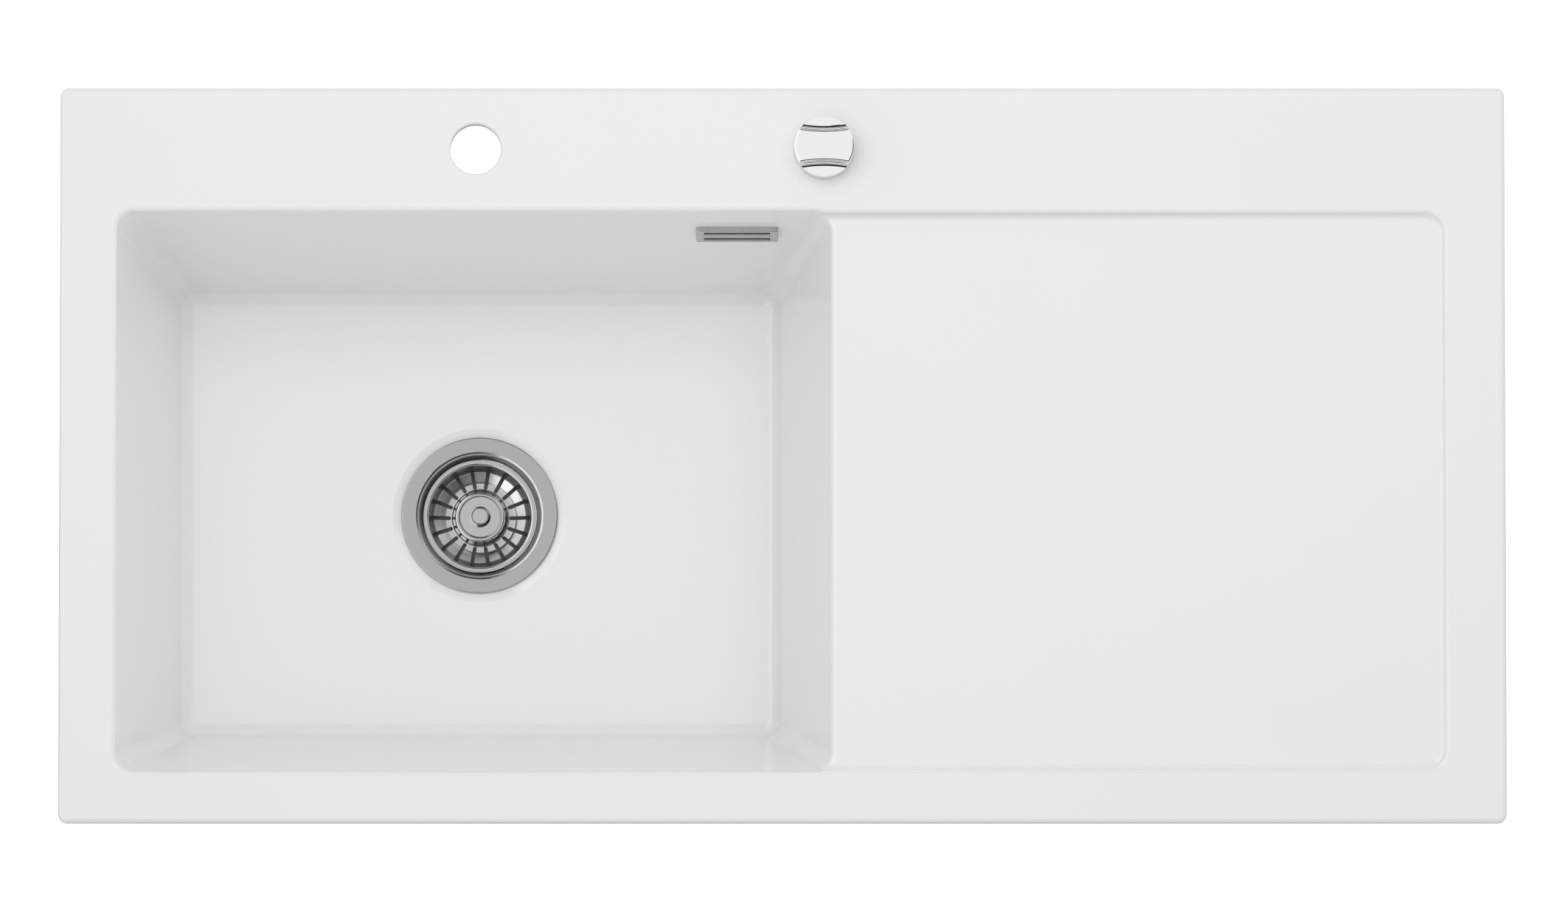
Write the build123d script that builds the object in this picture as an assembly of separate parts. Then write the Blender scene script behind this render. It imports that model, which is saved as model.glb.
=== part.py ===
from build123d import *
from math import atan2, cos, degrees, hypot, radians, sin, tan
import os

# Inset ceramic kitchen sink with one bowl, one drainer, a basket-strainer waste that a deck knob opens,
# and an overflow. Millimetres. +X points to the drainer, +Y to the tap ledge, +Z up.
# Origin: plan centre of the rim, on the worktop plane under it.

# Ceramic slab
LENGTH = 1000.0
WIDTH = 510.0
RIM = 12.0              # rim above the worktop
CORNER = 6.0
EDGE = 3.0              # rounding of the rim's outer top edge
SEAT = 16.0             # width of the ring that lies on the worktop
STEP = 9.0              # drop of the slab into the worktop's cut-out
LEFT_RIM = 39.0
REAR_LEDGE = 85.3
FRONT_RIM = 34.7
RIGHT_RIM = 42.0
LIP = 3.0               # rounding of the rim's edge into bowl and drainer

# Bowl
BOWL_LENGTH = 497.0
BOWL_DEPTH = 191.0
BOWL_DRAFT = 12.0       # wall slope in degrees
BOWL_CORNER = 12.0
FLOOR_COVE = 10.0
FLOOR_FALL = 0.013      # slope of the floor to the drain
WALL = 11.0
FLOOR_THICKNESS = 13.0

# Drainer
DRAINER_DEPTH_END = 5.0
DRAINER_DEPTH_BOWL = 9.0
DRAINER_INSET = 2.0     # the drainer's long walls stand this far inside the bowl's
DRAINER_CORNER = 14.0
DRAINER_COVE = 4.0
WEIR_EDGE = 5.0         # rounding of the edge from drainer to bowl
RIB_WIDTH = 12.0
RIB_HEIGHT = 14.0
RIB_PITCH = 120.0

# Holes in the ledge
HOLE_R = 17.5
HOLE_SETBACK = 42.5     # from the rear edge
HOLE_LIP = 1.0
KNOB_PITCH = 241.5      # from tap hole to knob
POCKET_R = 30.0         # thinned ring under each hole
LEDGE_AT_HOLE = 14.0

# Pressed strainer cup, heights from the flange's top
SHEET = 1.2
CUP_R = 37.1            # mid-line of the wall
CUP_SHOULDER = 3.5
CUP_FLARE = 2.4
FLANGE_WIDTH = 12.0
FLANGE_RISE = 1.0       # above the bowl floor
FLANGE_BEND = 3.0
FLANGE_EDGE = 0.9       # rounding of the flange's outer edge
SHOULDER_DEPTH = 9.6
CUP_WALL_HEIGHT = 17.8
CUP_CONE = 6.5
CUP_BEND = 1.4
CUP_FOOT_BEND = 2.0
CUP_HOLES = 8
CUP_HOLE_R = 5.0
CUP_HOLE_PITCH_R = 20.0
DRAIN_CLEARANCE = 2.0
SEAT_MARGIN = 1.2       # flat ring round the flange
DRAIN_DISH = 5.0        # width of the soft slope round that ring
GASKET = 1.0
GASKET_WIDTH = 8.5
GASKET_INSET = 1.0

# Basket
BASKET_SHEET = 0.8
BASKET_CLEARANCE = 2.0
BASKET_LIP = 2.2
BASKET_LIP_BEND = 1.2
BASKET_DEPTH = 15.0
BASKET_WALL_HEIGHT = 10.8   # steep upper wall
BASKET_WALL_TAPER = 3.4
BASKET_CONE = 8.4       # width of the slotted cone below it
BASKET_BEND = 2.5
BASKET_FOOT_BEND = 2.0
BASKET_HUB_RISE = 8.2
HUB_SEAT = 2.0          # ring of the seat round the hub
HUB_SLOPE = 2.3
HUB_BEND = 1.5
SLOTS = 18
SLOT_WIDTH = 2.7
SLOT_LENGTH = 13.0
SLOT_MARGIN = 1.0       # from the hub's slope
HUB_R = 15.2
HUB_CAP = 2.2
HUB_BEVEL = 1.2
HUB_PIN_R = 7.4
HUB_PIN_TOP_R = 6.0
HUB_PIN_HEIGHT = 6.0
HUB_PIN_BEVEL = 0.8
STEM_R = 4.0
STEM_LENGTH = 8.8
CARRIER_R = 8.0
SEAL_THICKNESS = 3.0
SEAL_LIP = 1.0
SEAL_STEP = 1.5
SEAL_GROOVE_R = 4.6
CARRIER_END_R = 5.5
CARRIER_END = 1.2

# Clamp bolt and lift pin
BOLT_HEAD_R = 9.5
BOLT_HEAD = 2.7
BOLT_R = 6.0
BOLT_END = 3.0          # past the spider's boss
SOCKET_FLATS = 12.4
SOCKET_DEPTH = 1.5
PIN_R = 3.0

# Waste body
WASTE_GASKET = 4.0
WASTE_FLANGE_WIDTH = 12.0
WASTE_FLANGE = 6.0
BARREL_CLEARANCE = 0.8
BARREL_WALL = 3.0
BARREL_BELOW_LEVER = 12.0
FUNNEL_HEIGHT = 16.0
REGISTER = 5.0          # of the funnel, inside the barrel
REGISTER_WALL = 2.0
OUTLET_R = 23.9         # G 1 1/2 male
OUTLET_WALL = 3.9
OUTLET_LENGTH = 26.0
BOSS_R = 10.0
BOSS_GAP = 3.5          # under the cup
BOSS_LENGTH = 15.0
SPIDER_ARMS = 3
SPIDER_WEB = 4.0
SPIDER_SETBACK = 2.5    # of the arms from the boss's ends

# Lift lever and crank
LEVER_DROP = 15.0       # below the spider's boss
LEVER_ARM = 16.0
LEVER_SWING = 35.0
LEVER_WIDTH = 7.0
LEVER_HUB_R = 6.0
LEVER_TIP_R = 3.0
LEVER_NECK_R = 2.4
SHAFT_R = 4.0
PORT_R = 9.5
PORT_BORE_R = 6.0
PORT_LENGTH = 9.0       # past the barrel
PORT_DEPTH = 13.0
BUSH_HEAD_R = 9.0
BUSH_HEAD = 4.0
BUSH_LENGTH = 10.0
CRANK_WIDTH = 4.4
CRANK_HUB_R = 6.5
CRANK_BLADE = 10.0
CRANK_REACH = 15.6
CRANK_END = 3.6
FORK_PLAY = 1.0         # height that the nipple gains as the crank passes its lowest point
NIPPLE_R = 1.75
SCREW_HEAD_R = 3.5
SCREW_HEAD = 2.4
SCREW_R = 1.5
SCREW_LENGTH = 10.0
SCREW_HOLE = 12.0
SCREW_RECESS = 1.0
SCREW_WASHER_R = 5.5
SCREW_WASHER = 0.8

# Control cable
CORE_R = 0.75
SLEEVE_R = 2.5
SLEEVE_BORE_R = 1.3
FERRULE_R = 3.0
FERRULE_COLLAR_R = 4.2
FERRULE_COLLAR = 3.0
FERRULE_TAIL = 14.0
FERRULE_TAIL_R = 3.5
CORE_OVERLAP = 12.0     # how far each moving core end reaches into the sleeve
CORE_SEAT = 2.0
BRACKET_X = 18.0
BRACKET = 8.0
BRACKET_ROOT = 8.2      # height on the barrel
BRACKET_EDGE = 2.0

# Overflow
OVERFLOW_INSET = 67.5   # from the bowl's drainer side
OVERFLOW_DROP = 48.0    # below the rim's top
COVER_LENGTH = 57.0
COVER_HEIGHT = 24.0
COVER_DEPTH = 3.4
COVER_FACE = 1.3
COVER_WALL = 1.2
COVER_CORNER = 1.5
COVER_EDGE = 0.6
COVER_SILL = 0.9        # rounding of the window's lower edge
LOUVRE_LENGTH = 46.0
LOUVRE_HEIGHT = 12.0
LOUVRE_TOP = 2.0        # thickness at its top edge and at its foot
LOUVRE_FOOT = 0.8
LOUVRE_EDGE = 0.7
LOUVRE_TILT = 0.8       # its top edge stands out, its lower edge in
COVER_SLOT = 3.0        # above and below the louvre
OVERFLOW_LENGTH = 46.0
OVERFLOW_HEIGHT = 16.0
OVERFLOW_CORNER = 4.0
INSERT = 1.6
INSERT_MARGIN = 3.0
INSERT_EDGE = 1.0
INSERT_CORNER = 2.0
INSERT_SLOT_LENGTH = 26.0
INSERT_SLOT = 9.0
SCREW_PITCH = 38.0
COUNTERSINK_R = 2.8
SCREW_SLOT = 0.8
SCREW_SLOT_DEPTH = 0.6
BOSS_SMALL_R = 3.0
ELBOW_FLANGE = 3.0
ELBOW_MARGIN = 8.0
ELBOW_DEPTH = 20.0
ELBOW_WALL = 2.5
ELBOW_CORNER = 4.0
OVERFLOW_GASKET = 1.5

# Overflow pipe
PIPE_R = 11.0
PIPE_BORE_R = 9.4
SPIGOT_R = 14.0
SPIGOT_LENGTH = 32.0
PIPE_ENTRY = 14.0
PIPE_STOP = 4.0         # end of the pipe's socket below the elbow's chamber
PIPE_BEND = 45.0
BRANCH_ABOVE_LEVER = 10.0
BRANCH_LENGTH = 27.0    # past the barrel
NUT_R = 18.5
NUT_LENGTH = 16.0
NUT_LIP = 3.0
NUT_EDGE = 0.8
NUT_GROOVES = 12
NUT_GROOVE_R = 1.5
NUT_GROOVE = 1.1
PIPE_SEAL = 4.0

# Knob and control
KNOB_R = 21.0
KNOB_HEIGHT = 23.4
KNOB_GAP = 0.6          # between knob and deck
KNOB_WALL = 3.0
KNOB_EDGE = 1.5
GRIP_WIDTH = 21.0
GRIP_CURVE = 95.0
GRIP_HEIGHT = 9.0
GRIP_COVE = 4.0
KNOB_HUB_R = 9.0
SPINDLE_R = 5.0
SPINDLE_END = 19.0      # above the deck
GRUB_R = 2.0
GRUB_SOCKET = 1.5
GRUB_Z = 8.0            # above the deck
KNOB_GASKET = 1.0
BUSH_R = 15.0
BUSH_FLANGE_R = 19.8
BUSH_FLANGE = 2.6
BUSH_BOTTOM_Z = -20.0
WASHER = 2.0
WASHER_R = 26.0
NUT_HEIGHT = 8.0
NUT_FLATS = 44.0
COLLAR = 6.0
COLLAR_R = 18.5
HOUSING_LENGTH = 54.0
HOUSING_WALL = 3.2
HOUSING_TOP = 3.5
HOUSING_CORNER = 4.0
COVER_PLATE = 3.0
CHANNEL_LENGTH = 40.0
SLIDER_LENGTH = 26.0
SLIDER_WIDTH = 20.0
SLIDER_HEIGHT = 6.1
DISC_R = 10.0
DISC = 3.0
DISC_DROP = 1.0         # below the housing's roof
ECCENTRIC_PIN_R = 2.0
HOUSING_SCREW_R = 1.4
HOUSING_SCREW_HEAD_R = 2.6
HOUSING_SCREW_HEAD = 1.8
HOUSING_SCREW_LENGTH = 10.0
CROSS = 3.0
CROSS_WIDTH = 0.7
CROSS_DEPTH = 1.0

# Clearances
RUN = 0.05              # radial, shaft in bush
FIT = 0.03              # radial, fixed pieces
SLIDE = 0.3             # between pieces that move past each other
PAST = 1.0              # how far a cut runs past a face

# Places worked out from the sizes above
BOWL_WIDTH = WIDTH - REAR_LEDGE - FRONT_RIM
BOWL_X = LEFT_RIM + BOWL_LENGTH / 2 - LENGTH / 2
BOWL_Y = FRONT_RIM + BOWL_WIDTH / 2 - WIDTH / 2
FLOOR_Z = RIM - BOWL_DEPTH
DRAIN_Z = FLOOR_Z + FLANGE_RISE
UNDER_Z = -FLANGE_RISE - FLOOR_THICKNESS    # underside of the floor, from the flange's top
SEAT_Z = -(GASKET + SHEET)                  # drain recess, from the flange's top
TAP_X = BOWL_X
HOLE_Y = WIDTH / 2 - HOLE_SETBACK
KNOB_X = TAP_X + KNOB_PITCH
AT_DRAIN = Pos(BOWL_X, BOWL_Y, DRAIN_Z)
AT_KNOB = Pos(KNOB_X, HOLE_Y, 0)
OVERFLOW_X = BOWL_X + BOWL_LENGTH / 2 - OVERFLOW_INSET
SLOPE = tan(radians(BOWL_DRAFT))
WALL_NORMAL = WALL * cos(radians(BOWL_DRAFT))
CUP_SHOULDER_R = CUP_R + CUP_SHOULDER
CUP_MOUTH_R = CUP_SHOULDER_R + CUP_FLARE
FLANGE_R = CUP_MOUTH_R + FLANGE_WIDTH
CUP_WALL_Z = -SHOULDER_DEPTH - CUP_WALL_HEIGHT
CUP_FLOOR_Z = CUP_WALL_Z - CUP_CONE
DRAIN_HOLE_R = CUP_MOUTH_R + DRAIN_CLEARANCE
BASKET_R = CUP_SHOULDER_R - BASKET_CLEARANCE
BASKET_LIP_Z = -SHOULDER_DEPTH + (SHEET + BASKET_SHEET) / 2 + SLIDE
BASKET_FLOOR_Z = BASKET_LIP_Z - BASKET_DEPTH
BASKET_HUB_Z = BASKET_FLOOR_Z + BASKET_HUB_RISE
SEAL_TOP_Z = CUP_WALL_Z + SLIDE
SEAL_BOTTOM_Z = SEAL_TOP_Z - SEAL_THICKNESS
BOSS_TOP_Z = CUP_FLOOR_Z - SHEET / 2 - BOSS_GAP
LEVER_Z = BOSS_TOP_Z - BOSS_LENGTH - LEVER_DROP
BARREL_Z = LEVER_Z - BARREL_BELOW_LEVER
BRANCH_Z = LEVER_Z + BRANCH_ABOVE_LEVER
OUTLET_TOP_Z = BARREL_Z - FUNNEL_HEIGHT
BARREL_R = CUP_SHOULDER_R + SHEET / 2 + BARREL_CLEARANCE + BARREL_WALL
WASTE_FLANGE_R = BARREL_R + WASTE_FLANGE_WIDTH
PORT_END = BARREL_R + PORT_LENGTH
BRANCH_END = BARREL_R + BRANCH_LENGTH
HALF_SWING = radians(LEVER_SWING / 2)
CABLE_PULL = 2 * CRANK_REACH * tan(HALF_SWING)
ECCENTRIC_R = CABLE_PULL / 2 / sin(radians(45))


def disc(radius, bottom, top):
    """Solid cylinder on Z."""
    return Pos(0, 0, bottom) * extrude(Circle(radius), top - bottom)


def ring(outer, inner, bottom, top):
    """Plain ring on Z."""
    return Pos(0, 0, bottom) * extrude(Circle(outer) - Circle(inner), top - bottom)


def turned(*points):
    """Solid turned about Z from an outline of (radius, height) points."""
    return revolve(Plane.XZ * make_face(Polyline(*points, close=True)), Axis.Z)


def pressed(points, radii, thickness):
    """Sheet of even thickness turned about Z from a rounded mid-line of (radius, height) points."""
    band = trace(FilletPolyline(*points, radius=radii), thickness)
    return revolve(Plane.XZ * band, Axis.Z)


def along_x(shape):
    """Turns a shape built on Z so that it lies along +X."""
    return Rot(0, 90, 0) * shape


def along_front(shape):
    """Turns a shape built on Z so that it lies along -Y."""
    return Rot(90, 0, 0) * shape


def bowl_section(z, grow):
    """Plan section of the bowl at a height, grown outwards for the outer shell."""
    shrink = 2 * SLOPE * (RIM - z) - 2 * grow
    plan = RectangleRounded(BOWL_LENGTH - shrink, BOWL_WIDTH - shrink, BOWL_CORNER + grow)
    return Pos(BOWL_X, BOWL_Y, z) * plan


def bowl_space():
    """Room of the bowl: sloping walls, a floor that falls to the drain and a cove between them."""
    room = loft([bowl_section(RIM, 0), bowl_section(FLOOR_Z, 0)], ruled=True)
    flat = FLANGE_R + 2 * DRAIN_DISH
    reach = hypot(BOWL_LENGTH, BOWL_WIDTH) / 2
    rise = FLOOR_FALL * (reach - flat)
    low = FLOOR_Z - FLOOR_COVE
    fall = turned((flat, FLOOR_Z), (reach, FLOOR_Z + rise), (reach, low), (flat, low))
    room -= Pos(BOWL_X, BOWL_Y, 0) * fall
    floor = room.faces().filter_by(GeomType.CONE)[0]
    return fillet(floor.outer_wire().edges(), FLOOR_COVE)


def drainer_space():
    """Room of the drainer: shallow tray that falls to the bowl and opens into it."""
    bowl_edge = BOWL_X + BOWL_LENGTH / 2
    end = LENGTH / 2 - RIGHT_RIM
    start = bowl_edge - 3 * BOWL_CORNER
    fall = (DRAINER_DEPTH_BOWL - DRAINER_DEPTH_END) / (end - bowl_edge)
    start_z = RIM - DRAINER_DEPTH_BOWL - fall * (bowl_edge - start)
    profile = Polyline((start, RIM), (end, RIM), (end, RIM - DRAINER_DEPTH_END), (start, start_z), close=True)
    rear = BOWL_Y + BOWL_WIDTH / 2 - DRAINER_INSET
    room = Pos(0, rear, 0) * extrude(Plane.XZ * make_face(profile), BOWL_WIDTH - 2 * DRAINER_INSET)
    room = fillet(room.edges().filter_by(Axis.Z).group_by(Axis.X)[-1], DRAINER_CORNER)
    floor = room.faces().sort_by(Axis.Z)[0]
    return fillet(floor.edges().sort_by(Axis.X)[1:], DRAINER_COVE)


def sink_space():
    """Bowl and drainer as one room, with the edge between them rounded over."""
    room = bowl_space() + drainer_space()
    bowl_edge = BOWL_X + BOWL_LENGTH / 2
    weir = room.edges().filter_by_position(Axis.X, bowl_edge - 3 * BOWL_CORNER, bowl_edge)
    weir = weir.filter_by_position(Axis.Z, RIM - 2 * DRAINER_DEPTH_BOWL, RIM - LIP / 2)
    return fillet(weir, WEIR_EDGE)


def sink_body():
    """Ceramic slab, bowl shell and underside ribs, less bowl, drainer and holes."""
    slab = extrude(RectangleRounded(LENGTH, WIDTH, CORNER), RIM)
    slab = fillet(slab.faces().sort_by(Axis.Z)[-1].edges(), EDGE)
    drop = extrude(RectangleRounded(LENGTH - 2 * SEAT, WIDTH - 2 * SEAT, CORNER), -STEP)
    shell = loft([bowl_section(0, WALL), bowl_section(FLOOR_Z - FLOOR_THICKNESS, WALL)], ruled=True)
    shell = fillet(shell.faces().sort_by(Axis.Z)[0].edges(), FLOOR_COVE + WALL)
    body = slab + drop + shell - sink_space()
    deck = body.faces().filter_by(GeomType.PLANE).sort_by(Axis.Z)[-1]
    body = fillet(deck.inner_wires()[0].edges(), LIP)

    rib_start = BOWL_X + BOWL_LENGTH / 2
    rib_end = LENGTH / 2 - SEAT - RIB_WIDTH
    for side in (-1, 1):
        rib = Pos((rib_start + rib_end) / 2, BOWL_Y + side * RIB_PITCH / 2, -STEP - RIB_HEIGHT / 2)
        body += rib * Box(rib_end - rib_start, RIB_WIDTH, RIB_HEIGHT)

    for x in (TAP_X, KNOB_X):
        hole = disc(HOLE_R, -STEP - PAST, RIM + PAST)
        lip = turned((0, RIM - HOLE_LIP), (HOLE_R, RIM - HOLE_LIP), (HOLE_R + HOLE_LIP, RIM), (0, RIM))
        pocket = disc(POCKET_R, -STEP - PAST, RIM - LEDGE_AT_HOLE)
        body -= Pos(x, HOLE_Y, 0) * (hole + lip + pocket)

    seat = FLANGE_R + SEAT_MARGIN
    dish = turned((0, SEAT_Z), (seat, SEAT_Z), (seat + DRAIN_DISH, -FLANGE_RISE), (0, -FLANGE_RISE))
    body -= AT_DRAIN * (dish + disc(DRAIN_HOLE_R, UNDER_Z - PAST, SEAT_Z + PAST))
    body -= overflow_plane() * Pos(0, 0, -2 * WALL) * extrude(overflow_slot(), 3 * WALL)
    return body


def overflow_plane():
    """Plane of the bowl's rear wall at the overflow, with its normal into the bowl."""
    draft = radians(BOWL_DRAFT)
    rear = BOWL_Y + BOWL_WIDTH / 2 - SLOPE * OVERFLOW_DROP
    place = (OVERFLOW_X, rear, RIM - OVERFLOW_DROP)
    return Plane(place, x_dir=(1, 0, 0), z_dir=(0, -cos(draft), sin(draft)))


def overflow_slot():
    """Outline of the overflow hole through the wall."""
    return RectangleRounded(OVERFLOW_LENGTH, OVERFLOW_HEIGHT, OVERFLOW_CORNER)


def strainer_flange():
    """Pressed cup: wide flange, shoulder, wall, sealing cone and pierced floor."""
    half = SHEET / 2
    cup = pressed(
        [
            (FLANGE_R, -half),
            (CUP_MOUTH_R, -half),
            (CUP_SHOULDER_R, -SHOULDER_DEPTH),
            (CUP_R, -SHOULDER_DEPTH),
            (CUP_R, CUP_WALL_Z),
            (CUP_R - CUP_CONE, CUP_FLOOR_Z),
            (BOLT_R + SLIDE, CUP_FLOOR_Z),
        ],
        [FLANGE_BEND, CUP_BEND, CUP_BEND, CUP_FOOT_BEND, CUP_FOOT_BEND],
        SHEET,
    )
    hole = disc(CUP_HOLE_R, CUP_FLOOR_Z - SHEET, CUP_FLOOR_Z + SHEET)
    for place in PolarLocations(CUP_HOLE_PITCH_R, CUP_HOLES):
        cup -= place * hole
    edge = cup.faces().filter_by(GeomType.CYLINDER).sort_by(SortBy.RADIUS)[-1]
    return fillet(edge.edges().sort_by(Axis.Z)[-1], FLANGE_EDGE)


def strainer_basket():
    """Pressed basket: lip, steep wall, slotted cone and floor round a raised hub seat."""
    wall_top = BASKET_R - BASKET_LIP
    wall_foot = wall_top - BASKET_WALL_TAPER
    hub_top = HUB_R + HUB_SEAT
    hub_foot = hub_top + HUB_SLOPE
    basket = pressed(
        [
            (BASKET_R, BASKET_LIP_Z),
            (wall_top, BASKET_LIP_Z),
            (wall_foot, BASKET_LIP_Z - BASKET_WALL_HEIGHT),
            (wall_foot - BASKET_CONE, BASKET_FLOOR_Z),
            (hub_foot, BASKET_FLOOR_Z),
            (hub_top, BASKET_HUB_Z),
            (STEM_R + FIT, BASKET_HUB_Z),
        ],
        [BASKET_LIP_BEND, BASKET_BEND, BASKET_FOOT_BEND, HUB_BEND, HUB_BEND],
        BASKET_SHEET,
    )
    slot = extrude(SlotOverall(SLOT_LENGTH, SLOT_WIDTH), BASKET_DEPTH)
    slot = Pos(hub_foot + SLOT_MARGIN + SLOT_LENGTH / 2, 0, BASKET_FLOOR_Z - PAST) * slot
    for turn in range(SLOTS):
        basket -= Rot(0, 0, 360 / SLOTS * turn) * slot
    return basket


def basket_hub():
    """Lift-out hub: capped disc, tapered centre pin and stem through the basket."""
    seat = BASKET_HUB_Z + BASKET_SHEET / 2
    cap = seat + HUB_CAP
    return turned(
        (0, seat - STEM_LENGTH),
        (STEM_R, seat - STEM_LENGTH),
        (STEM_R, seat),
        (HUB_R, seat),
        (HUB_R, cap - HUB_BEVEL),
        (HUB_R - HUB_BEVEL, cap),
        (HUB_PIN_R, cap),
        (HUB_PIN_TOP_R, cap + HUB_PIN_HEIGHT - HUB_PIN_BEVEL),
        (HUB_PIN_TOP_R - HUB_PIN_BEVEL, cap + HUB_PIN_HEIGHT),
        (0, cap + HUB_PIN_HEIGHT),
    )


def seal_carrier():
    """Spacer nut on the hub's stem, with a groove for the seal and a foot for the lift pin."""
    top = BASKET_HUB_Z - BASKET_SHEET / 2
    stem_end = BASKET_HUB_Z + BASKET_SHEET / 2 - STEM_LENGTH
    return turned(
        (STEM_R + FIT, top),
        (CARRIER_R, top),
        (CARRIER_R, SEAL_TOP_Z),
        (SEAL_GROOVE_R, SEAL_TOP_Z),
        (SEAL_GROOVE_R, SEAL_BOTTOM_Z),
        (CARRIER_END_R, SEAL_BOTTOM_Z),
        (CARRIER_END_R, SEAL_BOTTOM_Z - CARRIER_END),
        (0, SEAL_BOTTOM_Z - CARRIER_END),
        (0, stem_end),
        (STEM_R + FIT, stem_end),
    )


def basket_seal():
    """Rubber disc with a bevelled edge that closes on the cup's cone."""
    across = 1 / cos(radians(45))
    cone = CUP_R - CUP_WALL_Z - (SHEET / 2 + SLIDE) * across
    return turned(
        (SEAL_GROOVE_R + FIT, SEAL_TOP_Z),
        (cone + SEAL_TOP_Z - SEAL_STEP, SEAL_TOP_Z),
        (cone + SEAL_TOP_Z - SEAL_STEP, SEAL_TOP_Z - SEAL_LIP),
        (cone + SEAL_BOTTOM_Z, SEAL_BOTTOM_Z),
        (SEAL_GROOVE_R + FIT, SEAL_BOTTOM_Z),
    )


def clamp_bolt():
    """Hollow bolt with a hexagon socket, which also guides the lift pin."""
    seat = CUP_FLOOR_Z + SHEET / 2
    end = BOSS_TOP_Z - BOSS_LENGTH - BOLT_END
    bolt = disc(BOLT_HEAD_R, seat, seat + BOLT_HEAD) + disc(BOLT_R, end, seat)
    socket = extrude(RegularPolygon(SOCKET_FLATS / 2, 6, major_radius=False), SOCKET_DEPTH + PAST)
    bolt -= Pos(0, 0, seat + BOLT_HEAD - SOCKET_DEPTH) * socket
    return bolt - disc(PIN_R + RUN, end - PAST, seat + BOLT_HEAD)


def lift_pin():
    """Pin with a domed lower end that the lever lifts."""
    top = SEAL_BOTTOM_Z - CARRIER_END - SLIDE
    lever_tip = LEVER_Z - LEVER_ARM * sin(HALF_SWING) + LEVER_TIP_R
    low = lever_tip + SLIDE + PIN_R
    return disc(PIN_R, low, top) + Pos(0, 0, low) * Sphere(PIN_R)


def waste_body():
    """Moulded waste: clamp flange, barrel, spider, overflow branch, lever port and cable bracket."""
    top = UNDER_Z - WASTE_GASKET
    inner = BARREL_R - BARREL_WALL
    outer = disc(WASTE_FLANGE_R, top - WASTE_FLANGE, top) + disc(BARREL_R, BARREL_Z, top)
    hollow = disc(inner, BARREL_Z - PAST, top + PAST)

    branch = Pos(0, 0, BRANCH_Z) * Rot(0, 0, branch_angle())
    outer += branch * along_x(disc(SPIGOT_R, inner - SPIGOT_R, BRANCH_END))
    hollow += branch * along_x(disc(PIPE_R + SLIDE, inner - SPIGOT_R, BRANCH_END + PAST))

    port = Pos(-LEVER_ARM, 0, LEVER_Z)
    outer += port * along_front(disc(PORT_R, inner - PORT_R, PORT_END))
    hollow += port * along_front(disc(SHAFT_R + SLIDE, inner - PORT_R, PORT_END))
    hollow += port * along_front(disc(PORT_BORE_R, PORT_END - PORT_DEPTH, PORT_END + PAST))
    body = outer + cable_bracket() - hollow

    boss = disc(BOSS_R, BOSS_TOP_Z - BOSS_LENGTH, BOSS_TOP_Z)
    arm = Box(inner, SPIDER_WEB, BOSS_LENGTH - 2 * SPIDER_SETBACK)
    arm = Pos(BARREL_R / 2, 0, BOSS_TOP_Z - BOSS_LENGTH / 2) * arm
    for turn in range(SPIDER_ARMS):
        boss += Rot(0, 0, 90 + 360 / SPIDER_ARMS * turn) * arm
    boss -= disc(BOLT_R + FIT, BOSS_TOP_Z - BOSS_LENGTH - PAST, BOSS_TOP_Z + PAST)
    return body + boss


def cable_bracket():
    """Rib from the barrel past the funnel's side, with the hole that takes the sleeve's lower end."""
    edge = FERRULE_COLLAR_R + BRACKET_EDGE
    front = crank_y() - edge
    low = cable_z() - edge
    top = BARREL_Z + BRACKET_ROOT
    rib = Pos(BRACKET_X, front, low) * Box(BRACKET, -front, top - low, align=Align.MIN)
    rib -= disc(BARREL_R + SLIDE, low - PAST, BARREL_Z)
    hole = along_x(disc(FERRULE_R + FIT, BRACKET_X - PAST, BRACKET_X + BRACKET + PAST))
    return rib - Pos(0, crank_y(), cable_z()) * hole


def outlet_funnel():
    """Moulded funnel with the outlet, welded into the barrel's lower end by a short register."""
    outside = BARREL_R - BARREL_WALL - FIT
    inside = outside - REGISTER_WALL
    bore = OUTLET_R - OUTLET_WALL
    bottom = OUTLET_TOP_Z - OUTLET_LENGTH
    return turned(
        (outside, BARREL_Z + REGISTER),
        (outside, BARREL_Z),
        (BARREL_R, BARREL_Z),
        (OUTLET_R, OUTLET_TOP_Z),
        (OUTLET_R, bottom),
        (bore, bottom),
        (bore, OUTLET_TOP_Z),
        (inside, BARREL_Z),
        (inside, BARREL_Z + REGISTER),
    )


def branch_angle():
    """Direction from the drain to the overflow pipe, in degrees."""
    return degrees(atan2(pipe_y() - BOWL_Y, OVERFLOW_X - BOWL_X))


def pipe_y():
    """Where the overflow elbow's spigot stands behind the bowl."""
    wall = overflow_plane().origin.Y + WALL
    return wall + SPIGOT_R + 1


def crank_y():
    """Middle of the crank arm, from the drain axis."""
    return -(PORT_END + BUSH_HEAD + 2 * SLIDE + CRANK_WIDTH / 2)


def cable_z():
    """Height of the cable at the crank, from the floor."""
    return LEVER_Z - CRANK_REACH


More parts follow.
